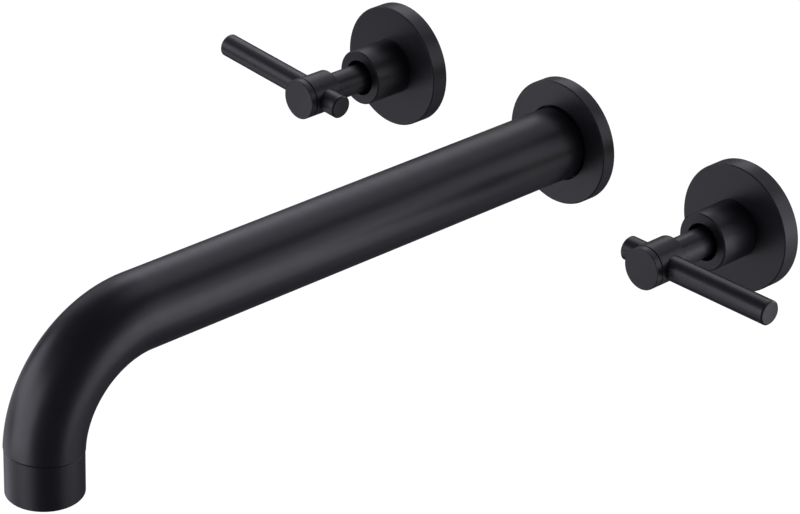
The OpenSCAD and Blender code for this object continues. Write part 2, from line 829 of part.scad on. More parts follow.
module disc_windows(mid, z0, z1) {
    for (side = [0, 180]) sector(
        window_start, chamber_d / 2 - window_wall, mid + side, window_deg, z0 - eps, z1 + eps
    );
}

module fixed_disc() {
    key_reach = sqrt(pow(barrel_d, 2) - pow(disc_key_w, 2)) / 2 - fixed_gap;
    color(ceramic) difference() {
        union() {
            rod(chamber_d - 2 * fixed_gap, fixed_disc_z, fixed_disc_z + fixed_disc_t);
            translate([-key_reach, -disc_key_w / 2, fixed_disc_z])
                cube([2 * key_reach, disc_key_w, fixed_disc_t]);
        }
        disc_windows(90, fixed_disc_z, fixed_disc_z + fixed_disc_t);
    }
}

module body_o_ring() {
    color(black_rubber) o_ring(barrel_d + 2 * fixed_gap, o_ring_t, barrel_ring_z);
}

module blade(gap) {
    length = chamber_d - 2 * blade_clear + 2 * gap;
    width = blade_w + 2 * gap;
    translate([-length / 2, -width / 2, disc_top - blade_bite - gap])
        cube([length, width, blade_gap + blade_bite + gap]);
}

module turning_disc() {
    color(ceramic) difference() {
        rod(chamber_d - 2 * running_gap, disc_split, disc_top);
        disc_windows(0, disc_split, disc_top);
        rotate([0, 0, 90]) blade(fixed_gap);
    }
}

// Flats that key the stop washer to the spindle
module keyed_stem(gap, z0, z1) {
    flat_w = spline_d - 2 * key_flat + 2 * gap;
    intersection() {
        rod(spline_d + 2 * gap, z0, z1);
        translate([-spline_d, -flat_w / 2, z0]) cube([2 * spline_d, flat_w, z1 - z0]);
    }
}

module spindle() {
    color(brass) difference() {
        union() {
            rotate([0, 0, 90]) blade(0);
            rod(chamber_d - 2 * running_gap, flange_z, flange_z + spindle_flange_t);
            rod(stem_d, flange_z, neck_top);
            keyed_stem(0, neck_top - eps, clip_z);
            rod(clip_groove_d, clip_z - eps, clip_z + clip_t + eps);
            rod(spline_relief_d, clip_z + clip_t, spline_z + eps);
            translate([0, 0, spline_z]) linear_extrude(spline_len) spline_profile(0);
        }
        for (z = stem_ring_z) o_ring_groove(stem_d, o_ring_t, z);
        rod(screw_d + 2 * fixed_gap, spindle_tip - screw_bite, spindle_tip + eps);
    }
}

module stem_o_rings() {
    color(black_rubber) for (z = stem_ring_z) o_ring(stem_d, o_ring_t, z);
}

module stop_washer() {
    tab_mid = -turn_deg / 2;
    z0 = neck_top + running_gap;
    color(steel) difference() {
        union() {
            rod(stem_d, z0, washer_top);
            sector(stem_d / 2 - merge, cartridge_neck_d / 2, tab_mid, tab_deg, z0, washer_top);
        }
        keyed_stem(fixed_gap, z0 - eps, washer_top + eps);
    }
}

// Open ring that snaps into the spindle's groove
module retaining_clip() {
    opening = clip_groove_d / 2;
    color(steel) difference() {
        pipe(stem_d, clip_groove_d + 2 * fixed_gap, clip_z, clip_z + clip_t);
        translate([0, -opening / 2, clip_z - eps]) cube([stem_d, opening, clip_t + 2 * eps]);
    }
}

// ---------------------------------------------------------------- handle

module stem_adapter() {
    color(brass) difference() {
        union() {
            rod(adapter_socket_d, spline_z, adapter_shoulder);
            rod(adapter_d, adapter_shoulder - eps, adapter_front);
        }
        translate([0, 0, spline_z - eps]) linear_extrude(spline_len + fixed_gap + eps)
            spline_profile(fixed_gap);
        rod(screw_d + 2 * fixed_gap, spindle_tip - merge, screw_seat_z + merge);
        rod(screw_head_d + 2 * fixed_gap, screw_seat_z, adapter_front + eps);
        pipe(
            adapter_d + merge, adapter_groove_d,
            set_screw_z - set_screw_d / 2 - fixed_gap, set_screw_z + set_screw_d / 2 + fixed_gap
        );
    }
}

module adapter_screw() {
    head_top = screw_seat_z + screw_head_t;
    color(steel) difference() {
        union() {
            rod(screw_d, spindle_tip - screw_bite + screw_spare, screw_seat_z + eps);
            chamfered_rod(screw_head_d, screw_seat_z, head_top, screw_chamfer / 2, screw_chamfer);
        }
        hex_rod(key_af, head_top - key_depth, head_top + eps);
    }
}

module handle_hub() {
    cap_thread_z = hub_end - cap_spigot_len;
    color(matte_black) difference() {
        union() {
            chamfered_rod(neck_d, neck_back, hub_back + merge, hub_chamfer, hub_chamfer);
            chamfered_rod(hub_d, hub_back, hub_end, hub_chamfer, hub_chamfer / 2);
        }
        rod(adapter_d + 2 * fixed_gap, neck_back - eps, adapter_front + fixed_gap);
        rod(cap_spigot_d + 2 * fixed_gap, cap_thread_z - fixed_gap, hub_end + eps);
        rod_x(lever_d + 2 * fixed_gap, -hub_d, hub_d, lever_z);
        rod_down(set_screw_d + 2 * fixed_gap, 0, neck_d, set_screw_z);
    }
}

module hub_set_screw() {
    tip = adapter_groove_d / 2 + fixed_gap;
    end = neck_d / 2 - screw_recess;
    color(steel) difference() {
        rod_down(set_screw_d, tip, end, set_screw_z);
        translate([0, -end, set_screw_z]) rotate([90, 0, 0])
            hex_rod(set_key_af, -set_key_depth, screw_recess);
    }
}

module lever() {
    color(matte_black) translate([0, 0, lever_z]) rotate([0, -90, 0])
        chamfered_rod(lever_d, -lever_stub, lever_long, lever_chamfer, lever_chamfer);
}

module hub_cap() {
    line_d = hub_d - 2 * cap_line_depth;
    color(matte_black) union() {
        chamfered_rod(hub_d, hub_end + cap_line, hub_front, hub_chamfer / 2, hub_chamfer);
        rod(line_d, hub_end, hub_end + cap_line + eps);
        rod(cap_spigot_d, hub_end - cap_spigot_len, hub_end + eps);
    }
}

// ---------------------------------------------------------------- nodes

spout_tube();
outlet_ring();
aerator_washer();
aerator_housing();
aerator_mixer();
aerator_screen();
spout_plate();
spout_plate_gasket();
spout_bushing();
spout_set_screw();
spout_nipple();
nipple_o_rings();
centre_tee();

hot_side() cross_tube();  // hot_cross_tube
hot_side() handle_plate();  // hot_wall_plate
hot_side() plate_gasket();  // hot_plate_gasket
hot_side() collar();  // hot_collar
hot_side() extension_sleeve();  // hot_extension_sleeve
hot_side() valve_body();  // hot_valve_body
hot_side() bonnet_nut();  // hot_bonnet_nut
hot_side() cartridge_body();  // hot_cartridge_body
hot_side() seat_seal();  // hot_seat_seal
hot_side() fixed_disc();  // hot_fixed_disc
hot_side() body_o_ring();  // hot_body_o_ring
hot_side() turning_disc();  // hot_turning_disc
hot_side() spindle();  // hot_spindle
hot_side() stem_o_rings();  // hot_stem_o_rings
hot_side() stop_washer();  // hot_stop_washer
hot_side() retaining_clip();  // hot_retaining_clip
hot_side() stem_adapter();  // hot_stem_adapter
hot_side() adapter_screw();  // hot_adapter_screw
hot_side() tilted(hot_tilt) handle_hub();  // hot_handle_hub
hot_side() tilted(hot_tilt) hub_set_screw();  // hot_set_screw
hot_side() tilted(hot_tilt) lever();  // hot_lever
hot_side() hub_cap();  // hot_hub_cap

cold_side() cross_tube();  // cold_cross_tube
cold_side() handle_plate();  // cold_wall_plate
cold_side() plate_gasket();  // cold_plate_gasket
cold_side() collar();  // cold_collar
cold_side() extension_sleeve();  // cold_extension_sleeve
cold_side() valve_body();  // cold_valve_body
cold_side() bonnet_nut();  // cold_bonnet_nut
cold_side() cartridge_body();  // cold_cartridge_body
cold_side() seat_seal();  // cold_seat_seal
cold_side() fixed_disc();  // cold_fixed_disc
cold_side() body_o_ring();  // cold_body_o_ring
cold_side() turning_disc();  // cold_turning_disc
cold_side() spindle();  // cold_spindle
cold_side() stem_o_rings();  // cold_stem_o_rings
cold_side() stop_washer();  // cold_stop_washer
cold_side() retaining_clip();  // cold_retaining_clip
cold_side() stem_adapter();  // cold_stem_adapter
cold_side() adapter_screw();  // cold_adapter_screw
cold_side() tilted(cold_tilt) handle_hub();  // cold_handle_hub
cold_side() tilted(cold_tilt) hub_set_screw();  // cold_set_screw
cold_side() tilted(cold_tilt) lever();  // cold_lever
cold_side() hub_cap();  // cold_hub_cap
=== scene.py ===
"""Looks of the wall mounted bath faucet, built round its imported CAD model.

Frame: the finished wall is Y = 0, the room is on -Y, +Z is up. Blender works in metres. Shapes are
drawn here in millimetres in a local frame, and scaled as they are placed. In the handle frame, +Z
runs out of the wall and +Y is up, as in the CAD source. In the outlet frame, +Z runs straight down.
"""

import json
import math

import bmesh
import bpy
from mathutils import Matrix, Vector


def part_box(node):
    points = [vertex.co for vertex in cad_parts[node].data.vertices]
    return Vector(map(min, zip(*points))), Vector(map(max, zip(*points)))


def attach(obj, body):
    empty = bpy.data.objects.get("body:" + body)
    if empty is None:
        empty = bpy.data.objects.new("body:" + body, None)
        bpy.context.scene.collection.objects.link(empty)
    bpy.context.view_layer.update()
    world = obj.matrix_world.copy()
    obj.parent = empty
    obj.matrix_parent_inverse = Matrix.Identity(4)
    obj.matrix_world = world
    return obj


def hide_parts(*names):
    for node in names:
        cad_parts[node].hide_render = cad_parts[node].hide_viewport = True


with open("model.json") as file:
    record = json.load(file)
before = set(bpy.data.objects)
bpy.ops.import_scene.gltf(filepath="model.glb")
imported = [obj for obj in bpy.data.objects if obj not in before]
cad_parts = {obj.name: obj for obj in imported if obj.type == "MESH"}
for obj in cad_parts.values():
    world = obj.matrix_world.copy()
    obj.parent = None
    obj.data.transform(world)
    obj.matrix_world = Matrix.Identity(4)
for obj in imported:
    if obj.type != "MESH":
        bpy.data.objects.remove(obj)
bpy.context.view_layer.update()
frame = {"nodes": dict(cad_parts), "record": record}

MM = 0.001
MICRON = 1e-6
FULL_TURN = 2 * math.pi
SIDES = ("hot", "cold")
BODY = "body"

# ------------------------------------------------------------------ places and sizes from the frame


def span(node):
    """Lowest and highest corner of a CAD node, in millimetres."""
    lo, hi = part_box(node)
    return lo / MM, hi / MM


def depth_range(node):
    """Where a CAD node starts and ends along the handle frame's Z, in millimetres."""
    lo, hi = span(node)
    return -hi.y, -lo.y


def width(node):
    """Size of a CAD node along X, in millimetres."""
    lo, hi = span(node)
    return hi.x - lo.x


plate_lo, plate_hi = span("cold_wall_plate")
half_spread = (plate_lo.x + plate_hi.x) / 2
lever_lo, lever_hi = span("cold_lever")
lever_z = -(lever_lo.y + lever_hi.y) / 2
lever_d = lever_hi.y - lever_lo.y
ring_lo, ring_hi = span("outlet_ring")
outlet_d = ring_hi.x - ring_lo.x
spout_reach = -(ring_lo.y + ring_hi.y) / 2
spout_d = width("spout_tube")

# Sizes that a box can't tell, as in the CAD source, in millimetres

# Spout, its end ring and the aerator's shell
spout_wall = 1.5
bend_r = 45.7
bend_deg = 87.0
spout_screw_z = 11.0
spout_screw_d = 5.0
outlet_len = 19.5
outlet_round = 0.8
outlet_spigot_play = 0.8
outlet_spigot_len = 3.0
outlet_spigot_wall = 1.5
outlet_thread_d = 24.06
outlet_thread_top = 7.9
washer_bore = 21.0
washer_room = 2.0
aerator_top = 9.9
aerator_face = 18.9
aerator_r = 12.0
aerator_bore = 20.0
aerator_lip = 1.0
aerator_pitch = 1.0
aerator_thread = 0.4
aerator_thread_start = 0.8
aerator_thread_end = 1.8
aerator_thread_step = 0.12
notch_w = 2.0
notch_depth = 0.5

# Wall plates and collars
plate_face_t = 3.0
plate_rim = 3.0
plate_chamfer = 0.4
spout_plate_bore = 33.2
spigot_d = 21.0
mouth_d = 15.8
mouth_depth = 7.3

# Handles
neck_d = 12.6
adapter_d = 9.9
adapter_bore_short = 1.57  # the neck's bore ends this far behind the hub's back
hub_back = 46.1
cap_line = 0.4  # the fine dark line behind the cap
cap_line_depth = 0.6
cap_spigot_d = 13.0
cap_bore_depth = 1.64
lever_stub = 16.4  # the bar's short and long ends, from the handle's axis
lever_long = 58.4
lever_chamfer = 0.6
tilt = {"hot": 2.9, "cold": 1.1}  # degrees that the shut levers point above level
set_screw_z = 38.1
set_screw_d = 4.0
set_screw_tip = 4.18  # from the handle's axis
set_screw_sunk = 0.3  # its end, below the neck's surface
set_screw_pitch = 0.7
set_screw_thread = 0.28
socket_flats = 2.0
socket_depth = 1.4

# Valve bodies behind the wall
water_z = -56.0  # axis of the side outlets, the tubes and the tee
seat_z = -67.75
inlet_z = -75.75  # axis of the inlet
barrel_top = -42.65
flange_top = -38.65
valve_d = 31.0
valve_boss_d = 25.2
bonnet_d = 20.0
barrel_d = 18.0
gallery_d = 23.0
gallery_half = 3.5
seal_bore = 10.0
passage_d = 13.0
inlet_d = 26.0
inlet_len = 42.0
inlet_thread_d = 18.6
inlet_thread = 15.0
inlet_pitch = 1.814
inlet_ridge = 0.9
ear_spacing = 44.0
ear_height = 18.0
ear_w = 14.0
ear_t = 4.0
ear_hole_d = 5.5

# Tee, copper tubes and extension sleeves
cross_d = 15.0
cross_wall = 1.0
cross_passage_d = 9.0
cross_boss_d = 20.0
cross_boss_len = 26.0
socket_bottom = 16.0
tee_d = 28.0
tee_back = -68.0
tee_front = -28.0
nipple_d = 20.8
nipple_z = -46.0
nipple_bore = 15.0
sleeve_d = 18.5
skirt_roof = -21.25
skirt_wall = 2.0
sleeve_pitch = 1.5
sleeve_thread = 0.4

# Fits, broken edges and how the meshes are made
fixed_gap = 0.03  # between a bore and the fixed piece in it
edge = 0.12
seam_edge = 0.3  # on both sides of the seam between tube and end ring
extra_stock = 1.0  # castings start this much longer, and are faced off
aside, behind = 60, -100  # how far the facing blocks reach
cast_voxel = 0.6
fillet_passes = 7
sliver = 0.004  # points nearer than this are welded after a cut
weld = 1e-5
sharp_deg = 32

# Facets round a turn, from the large seen discs down to the small holes
PLATE_FACETS, HUB_FACETS, TUBE_FACETS, BOSS_FACETS, HIDDEN_FACETS, SMALL_FACETS = (
    256,
    192,
    160,
    128,
    96,
    48,
)

# ------------------------------------------------------------------ local frames

OUT_OF_WALL = Matrix(((1, 0, 0, 0), (0, 0, -1, 0), (0, 1, 0, 0), (0, 0, 0, 1)))
BEND_DROP = bend_r * (1 - math.cos(math.radians(bend_deg)))
AT_OUTLET = Matrix.Translation((0, -spout_reach, -BEND_DROP)) @ Matrix.Scale(-1, 4, (0, 0, 1))
ALONG_X = Matrix.Rotation(math.pi / 2, 4, "Y")
DOWN = Matrix.Rotation(math.pi / 2, 4, "X")


def at_depth(z):
    """Shift along the handle frame's Z."""
    return Matrix.Translation((0, 0, z))


def handle_frame(side):
    """The handle frame of one side. The cold side is the hot side's mirror image."""
    hot = Matrix.Translation((-half_spread, 0, 0)) @ OUT_OF_WALL
    return hot if side == "hot" else Matrix.Scale(-1, 4, (1, 0, 0)) @ hot


def tilted_frame(side):
    """The handle frame, turned so that the shut lever points a little above level."""
    return handle_frame(side) @ Matrix.Rotation(math.radians(-tilt[side]), 4, "Z")


# ------------------------------------------------------------------ mesh making


def arc_corner(before, corner, after, radius, steps):
    """Points that round one corner of an outline with an arc of the given radius."""
    if radius <= 0:
        return [corner]
    into, out = (before - corner).normalized(), (after - corner).normalized()
    half = into.angle(out) / 2
    middle = (into + out).normalized()
    centre = corner + middle * (radius / math.sin(half))
    start = corner + into * (radius / math.tan(half)) - centre
    end = corner + out * (radius / math.tan(half)) - centre
    sweep = start.angle_signed(end)
    return [centre + Matrix.Rotation(-sweep * k / steps, 2) @ start for k in range(steps + 1)]


def outline(corners, steps=3):
    """Closed outline from (r, z, rounding) corners, with that many steps in each rounding."""
    points = [Vector(c[:2]) for c in corners]
    made = []
    for i, corner in enumerate(corners):
        rounding = corner[2] if len(corner) > 2 else 0
        made += arc_corner(points[i - 1], points[i], points[(i + 1) % len(points)], rounding, steps)
    return made


def loft(rings, segments):
    """Closed surface through a loop of rings. Each ring is a function of the turn angle."""
    bm = bmesh.new()
    angles = [FULL_TURN * i / segments for i in range(segments)]
    rows = [[bm.verts.new(ring(angle)) for angle in angles] for ring in rings]
    for k, row in enumerate(rows):
        following = rows[(k + 1) % len(rows)]
        for i in range(segments):
            j = (i + 1) % segments
            bm.faces.new((row[i], row[j], following[j], following[i]))
    bmesh.ops.remove_doubles(bm, verts=bm.verts, dist=weld)
    bmesh.ops.dissolve_degenerate(bm, edges=bm.edges, dist=weld / 10)
    bmesh.ops.recalc_face_normals(bm, faces=bm.faces)
    return bm


def lathe(profile, segments, surface=None):
    """Turned piece from a closed (r, z) profile. surface(r, z, angle) may move the radius."""

    def ring(point):
        def at(angle):
            r = surface(point.x, point.y, angle) if surface else point.x
            return (r * math.cos(angle), r * math.sin(angle), point.y)

        return at

    return loft([ring(p) for p in profile], segments)


def screw_thread(z0, z1, pitch, depth, where):
    """Surface for lathe(): rounded helical ridges between z0 and z1, on radii near where."""

    def surface(r, z, angle):
        if abs(r - where) > depth or not z0 < z < z1:
            return r
        fade = min(1, (z - z0) / pitch, (z1 - z) / pitch)
        return r - depth * fade * (0.5 - 0.5 * math.cos(FULL_TURN * (z / pitch) - angle))

    return surface


def stretch(r, z0, z1, step):
    """Profile corners along a straight wall, close enough together to carry a thread."""
    count = max(1, round(abs(z1 - z0) / step))
    return [(r, z0 + (z1 - z0) * k / count) for k in range(count + 1)]


def temp_object(bm):
    """Passing object that lets modifiers work on a mesh. The bmesh is used up."""
    mesh = bpy.data.meshes.new("temp")
    bm.to_mesh(mesh)
    bm.free()
    obj = bpy.data.objects.new("temp", mesh)
    bpy.context.scene.collection.objects.link(obj)
    return obj


def applied(obj):
    """The object's mesh with its modifiers applied, as a new bmesh. The object is removed."""
    bpy.context.view_layer.update()
    evaluated = obj.evaluated_get(bpy.context.evaluated_depsgraph_get())
    mesh = bpy.data.meshes.new_from_object(evaluated)
    bm = bmesh.new()
    bm.from_mesh(mesh)
    bpy.data.meshes.remove(mesh)
    bpy.data.objects.remove(obj)
    return bm


def cleaned(bm):
    """Welds the slivers that a cut leaves, and splits its many-sided faces into triangles."""
    for _ in range(3):
        bmesh.ops.remove_doubles(bm, verts=bm.verts, dist=sliver)
        bmesh.ops.dissolve_degenerate(bm, edges=bm.edges, dist=sliver)
    crowded = [f for f in bm.faces if len(f.verts) > 4]
    bmesh.ops.triangulate(bm, faces=crowded)
    bmesh.ops.dissolve_degenerate(bm, edges=bm.edges, dist=sliver)
    return bm


def combine(bm, other, operation):
    """Boolean of two closed meshes."""
    obj, tool = temp_object(bm), temp_object(other)
    modifier = obj.modifiers.new("combine", "BOOLEAN")
    modifier.operation, modifier.solver, modifier.object = operation, "EXACT", tool
    made = applied(obj)
    bpy.data.objects.remove(tool)
    return cleaned(made)


def machined(bm, cutters):
    """Takes the cutters out of a mesh, one after another."""
    for cutter in cutters:
        bm = combine(bm, cutter, "DIFFERENCE")
    return bm


def turned(bm, matrix):
    """Moves a mesh, and keeps its faces outward where the matrix mirrors it."""
    bm.transform(matrix)
    if matrix.determinant() < 0:
        bmesh.ops.reverse_faces(bm, faces=bm.faces)
    return bm


def rod(d, z0, z1, segments=HIDDEN_FACETS, rounding=0.0):
    """Plain solid rod along Z."""
    corners = [(0, z0), (d / 2, z0, rounding), (d / 2, z1, rounding), (0, z1)]
    return lathe(outline(corners), segments)


def rod_x(d, x0, x1, z, segments=HIDDEN_FACETS):
    """Rod along X at a depth z."""
    return turned(rod(d, x0, x1, segments), at_depth(z) @ ALONG_X)


def rod_down(d, y0, y1, z, segments=HIDDEN_FACETS):
    """Rod along -Y in the handle frame, from y0 to y1 below the axis."""
    return turned(rod(d, y0, y1, segments), at_depth(z) @ DOWN)


def block(x0, x1, y0, y1, z0, z1):
    """Rectangular block between those limits."""
    bm = bmesh.new()
    bmesh.ops.create_cube(bm, size=1)
    bm.transform(
        Matrix.Translation(((x0 + x1) / 2, (y0 + y1) / 2, (z0 + z1) / 2))
        @ Matrix.Diagonal((x1 - x0, y1 - y0, z1 - z0, 1))
    )
    return bm


def hex_prism(across_flats, z0, z1):
    """Hexagonal rod along Z."""
    bm = bmesh.new()
    radius = across_flats / 2 / math.cos(math.pi / 6)
    corners = [Matrix.Rotation(FULL_TURN * i / 6, 2) @ Vector((radius, 0)) for i in range(6)]
    low, high = ([bm.verts.new((c.x, c.y, z)) for c in corners] for z in (z0, z1))
    for i in range(6):
        j = (i + 1) % 6
        bm.faces.new((low[i], low[j], high[j], high[i]))
    bm.faces.new(low[::-1])
    bm.faces.new(high)
    return bm


def place(name, bm, matrix, body, material, node):
    """Finished piece: scaled, in its place, riding its body and standing for its CAD node."""
    turned(bm, Matrix.Scale(MM, 4) @ matrix)
    mesh = bpy.data.meshes.new(name)
    bm.to_mesh(mesh)
    bm.free()
    mesh.polygons.foreach_set("use_smooth", [True] * len(mesh.polygons))
    mesh.set_sharp_from_angle(angle=math.radians(sharp_deg))
    obj = bpy.data.objects.new(name, mesh)
    bpy.context.scene.collection.objects.link(obj)
    mesh.materials.append(material)
    weighted = obj.modifiers.new("flat faces stay flat", "WEIGHTED_NORMAL")
    weighted.keep_sharp = True
    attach(obj, body)
    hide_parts(node)


def place_black(name, bm, matrix, node, body=BODY):
    """Finished piece in the matte black finish."""
    place(name, bm, matrix, body, BLACK, node)


# ------------------------------------------------------------------ materials


class Nodes:
    """Small helper that adds nodes to one material and links them."""

    def __init__(self, name):
        self.material = bpy.data.materials.new(name)
        self.material.use_nodes = True
        self.tree = self.material.node_tree
        self.shader = self.tree.nodes["Principled BSDF"]
        self.place = self.add("ShaderNodeTexCoord").outputs["Object"]

    def add(self, kind):
        return self.tree.nodes.new(kind)

    def link(self, source, target):
        self.tree.links.new(source, target)

    def noise(self, scale, detail, roughness=0.5, vector=None):
        """Noise in the piece's own coordinates, with about that many spots to the metre."""
        node = self.add("ShaderNodeTexNoise")
        node.inputs["Scale"].default_value = scale
        node.inputs["Detail"].default_value = detail
        node.inputs["Roughness"].default_value = roughness
        self.link(vector or self.place, node.inputs["Vector"])
        return node.outputs["Fac"]

    def stretched(self, factors):
        """Object coordinates scaled by a factor along each axis."""
        node = self.add("ShaderNodeMapping")
        node.inputs["Scale"].default_value = factors
        self.link(self.place, node.inputs["Vector"])
        return node.outputs["Vector"]

    def spread(self, value, low, high):
        """Maps a 0.3 to 0.7 noise value onto low to high."""
        node = self.add("ShaderNodeMapRange")
        limits = {"From Min": 0.3, "From Max": 0.7, "To Min": low, "To Max": high}
        for socket, limit in limits.items():
            node.inputs[socket].default_value = limit
        self.link(value, node.inputs["Value"])
        return node.outputs["Result"]

    def colours(self, value, *stops):
        """Colour ramp from (position, colour) stops."""
        ramp = self.add("ShaderNodeValToRGB")
        elements = ramp.color_ramp.elements
        while len(elements) < len(stops):
            elements.new(0.5)
        for element, (position, colour) in zip(elements, stops):
            element.position, element.color = position, (*colour, 1)
        self.link(value, ramp.inputs["Fac"])
        return ramp.outputs["Color"]

    def bump(self, height, microns, strength, under=None):
        """Bump of that depth, on top of another bump if one is given."""
        node = self.add("ShaderNodeBump")
        node.inputs["Strength"].default_value = strength
        node.inputs["Distance"].default_value = microns * MICRON
        self.link(height, node.inputs["Height"])
        if under:
            self.link(under, node.inputs["Normal"])
        return node.outputs["Normal"]

    def finish(self, colour, roughness, normal, **constants):
        """Links what varies over the surface, and sets what is constant on the shader itself."""
        self.link(colour, self.shader.inputs["Base Color"])
        self.link(roughness, self.shader.inputs["Roughness"])
        self.link(normal, self.shader.inputs["Normal"])
        for socket, value in constants.items():
            self.shader.inputs[socket.replace("_", " ")].default_value = value
        return self.material


def matte_black():
    """Fine satin powder finish: a very dark cool black with a soft grain and an even sheen."""
    n = Nodes("matte_black_finish")
    cloud, grain = n.noise(28, 3), n.noise(2600, 2, 0.6)
    colour = n.colours(cloud, (0.3, (0.0050, 0.0048, 0.0072)), (0.7, (0.0070, 0.0067, 0.0098)))
    roughness = n.spread(n.noise(190, 3), 0.35, 0.39)
    peel = n.bump(n.noise(700, 2), 4, 0.4)
    normal = n.bump(grain, 1.5, 0.4, peel)
    return n.finish(colour, roughness, normal, Specular_IOR_Level=0.5)


def machined_brass():
    """Turned yellow brass: fine rings round the Y axis, slightly uneven colour and polish."""
    n = Nodes("machined_brass_y")
    lines = n.noise(5200, 2, 0.7, n.stretched((0.02, 1, 0.02)))
    stain = n.noise(60, 4, 0.6)
    colour = n.colours(
        stain, (0.3, (0.60, 0.41, 0.16)), (0.5, (0.72, 0.52, 0.23)), (0.7, (0.78, 0.60, 0.30))
    )
    roughness = n.spread(n.noise(140, 4), 0.26, 0.38)
    return n.finish(colour, roughness, n.bump(lines, 5, 0.4), Metallic=1.0)


def cast_brass():
    """Sand cast brass: pitted skin, dull brown in its hollows."""
    n = Nodes("cast_brass")
    skin, pits = n.noise(420, 5, 0.65), n.noise(1500, 2, 0.5)
    colour = n.colours(
        n.noise(75, 4, 0.65),
        (0.32, (0.30, 0.19, 0.075)),
        (0.52, (0.50, 0.34, 0.14)),
        (0.7, (0.62, 0.45, 0.20)),
    )
    roughness = n.spread(skin, 0.42, 0.60)
    normal = n.bump(pits, 60, 0.5, n.bump(skin, 180, 0.7))
    return n.finish(colour, roughness, normal, Metallic=1.0)


def drawn_copper():
    """Drawn copper tube, with faint lines along it and a dulled skin."""
    n = Nodes("drawn_copper")
    lines = n.noise(900, 3, 0.6, n.stretched((0.03, 1, 1)))
    colour = n.colours(
        n.noise(38, 5, 0.65),
        (0.3, (0.34, 0.13, 0.065)),
        (0.5, (0.62, 0.27, 0.15)),
        (0.72, (0.74, 0.38, 0.24)),
    )
    roughness = n.spread(n.noise(110, 4), 0.25, 0.45)
    return n.finish(colour, roughness, n.bump(lines, 20, 0.6), Metallic=1.0)


def stainless():
    """Turned stainless steel: fine rings round the Y axis."""
    n = Nodes("turned_stainless")
    lines = n.noise(4000, 2, 0.7, n.stretched((0.05, 1, 0.05)))
    colour = n.colours(n.noise(90, 3), (0.3, (0.50, 0.51, 0.52)), (0.7, (0.62, 0.63, 0.64)))
    roughness = n.spread(n.noise(200, 3), 0.24, 0.36)
    return n.finish(colour, roughness, n.bump(lines, 10, 0.5), Metallic=1.0)


def rubber():
    """Moulded black rubber with a dusty bloom."""
    n = Nodes("moulded_rubber")
    bloom = n.noise(120, 4, 0.6)
    colour = n.colours(bloom, (0.35, (0.013, 0.013, 0.013)), (0.75, (0.030, 0.030, 0.031)))
    return n.finish(colour, n.spread(bloom, 0.62, 0.78), n.bump(n.noise(1400, 2), 30, 0.6))


def foam():
    """Closed-cell foam: small round cells, darker in their hollows and lighter on their rims, as
    painted shade and painted highlight that follow the bump.
    """
    n = Nodes("closed_cell_foam")
    cells = n.add("ShaderNodeTexVoronoi")
    cells.inputs["Scale"].default_value = 1300
    n.link(n.place, cells.inputs["Vector"])
    height = cells.outputs["Distance"]
    # painted shade in the cells' hollows and painted highlight on their rims: the colour follows
    # the same cell height as the bump
    colour = n.colours(height, (0.1, (0.020, 0.020, 0.022)), (0.8, (0.060, 0.060, 0.064)))
    return n.finish(colour, n.spread(n.noise(80, 3), 0.85, 0.95), n.bump(height, 200, 0.9))


def ceramic():
    """Lapped alumina: off-white and nearly polished."""
    n = Nodes("lapped_ceramic")
    colour = n.colours(n.noise(70, 3), (0.3, (0.80, 0.79, 0.74)), (0.7, (0.88, 0.87, 0.83)))
    roughness = n.spread(n.noise(300, 3), 0.10, 0.2)
    return n.finish(colour, roughness, n.bump(n.noise(900, 2), 4, 0.5))


def pale_plastic():
    """Moulded acetal: pale grey, with a soft sheen."""
    n = Nodes("moulded_acetal")
    colour = n.colours(n.noise(160, 3), (0.3, (0.60, 0.61, 0.62)), (0.7, (0.70, 0.71, 0.72)))
    normal = n.bump(n.noise(1200, 2), 10, 0.5)
    return n.finish(colour, n.spread(n.noise(240, 3), 0.36, 0.5), normal)


BLACK, BRASS, CAST = matte_black(), machined_brass(), cast_brass()
COPPER, STEEL = drawn_copper(), stainless()
CARRIED = {
    "matte_black": BLACK,
    "brass": BRASS,
    "copper": COPPER,
    "steel": STEEL,
    "black_rubber": rubber(),
    "foam": foam(),
    "ceramic": ceramic(),
    "aerator_plastic": pale_plastic(),
}


def dress_carried_nodes():
    """Gives every CAD node the procedural material of its record slot."""
    slot_of = {s["node"]: s["material_slot"] for s in frame["record"]["subparts"]}
    for name, obj in frame["nodes"].items():
        obj.data.materials.clear()
        obj.data.materials.append(CARRIED[slot_of[name]])


# ------------------------------------------------------------------ spout


def spout_tube():
    """The straight run and the bend, swept as one tube with a wall and broken end edges."""
    start = depth_range("spout_tube")[0]
    straight_end = spout_reach - bend_r * math.sin(math.radians(bend_deg))
    run = straight_end - start
    path_len = run + bend_r * math.radians(bend_deg)

    def station(s):
        """Centre of the tube and the way to its upper side, at a distance s along its path."""
        if s <= run:
            return Vector((0, 0, start + s)), Vector((0, 1, 0))
        turn = (s - run) / bend_r
        centre = Vector((0, -bend_r * (1 - math.cos(turn)), straight_end + bend_r * math.sin(turn)))
        return centre, Vector((0, math.cos(turn), math.sin(turn)))

    def ring(r, s):
        centre, up = station(s)
        side = Vector((1, 0, 0))
        return lambda angle: centre + r * (math.cos(angle) * side + math.sin(angle) * up)

    outer, inner = spout_d / 2, spout_d / 2 - spout_wall
    run_steps, bend_steps = 6, 72
    middle = [k * run / run_steps for k in range(1, run_steps + 1)]
    middle += [run + (path_len - run) * k / bend_steps for k in range(1, bend_steps)]
    outside = [(outer - edge, 0), (outer - edge / 3, edge / 3), (outer, edge)]
    outside += [(outer, s) for s in middle]
    outside += [(outer, path_len - seam_edge), (outer - seam_edge, path_len)]
    inside = [(inner, path_len)] + [(inner, s) for s in reversed(middle)] + [(inner, 0)]
    bm = loft([ring(r, s) for r, s in outside + inside], TUBE_FACETS)
    hole = rod_down(spout_screw_d + 2 * fixed_gap, 0, spout_d, spout_screw_z, SMALL_FACETS)
    return combine(bm, hole, "DIFFERENCE")


